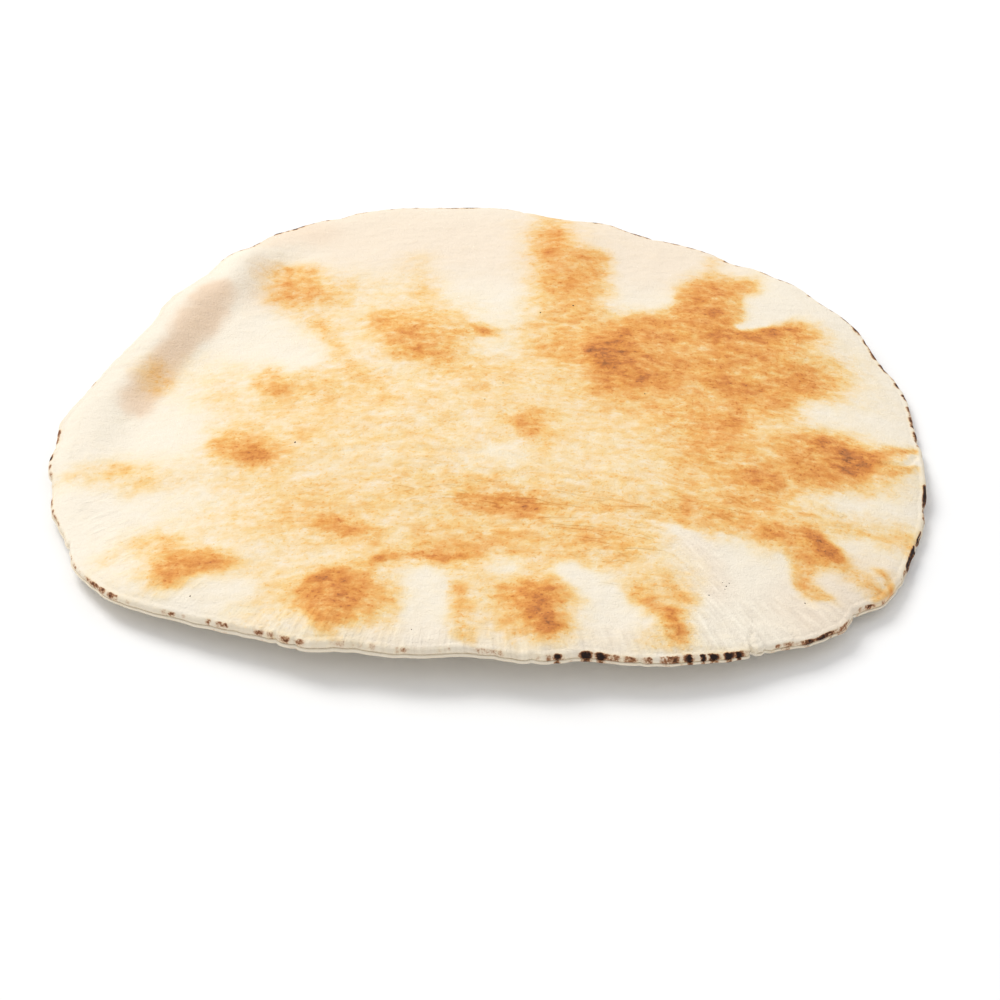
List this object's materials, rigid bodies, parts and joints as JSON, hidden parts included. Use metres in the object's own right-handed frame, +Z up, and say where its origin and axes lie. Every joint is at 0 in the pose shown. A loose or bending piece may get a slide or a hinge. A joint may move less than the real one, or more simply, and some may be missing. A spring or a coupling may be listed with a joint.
{
  "type": "pita bread",
  "caption": "Large round pocket flatbread with a crimped charred rim, a curled lip, a long crease and toasted patches, lying flat.",
  "frame": {"origin": "middle of the loaf's bounding box, on the surface that it rests on", "axes": "+Z up, out of the browned upper crust; -Y is the loaf's front, and the curled lip is at the back left"},
  "size_m": [0.2848, 0.2784, 0.0202],
  "materials": {
    "crust": "matte floury baked crust, pale cream with golden to dark brown toasted patches and a charred rim"
  },
  "bodies": {
    "root": {"pita": "crust"}
  },
  "joints": []
}
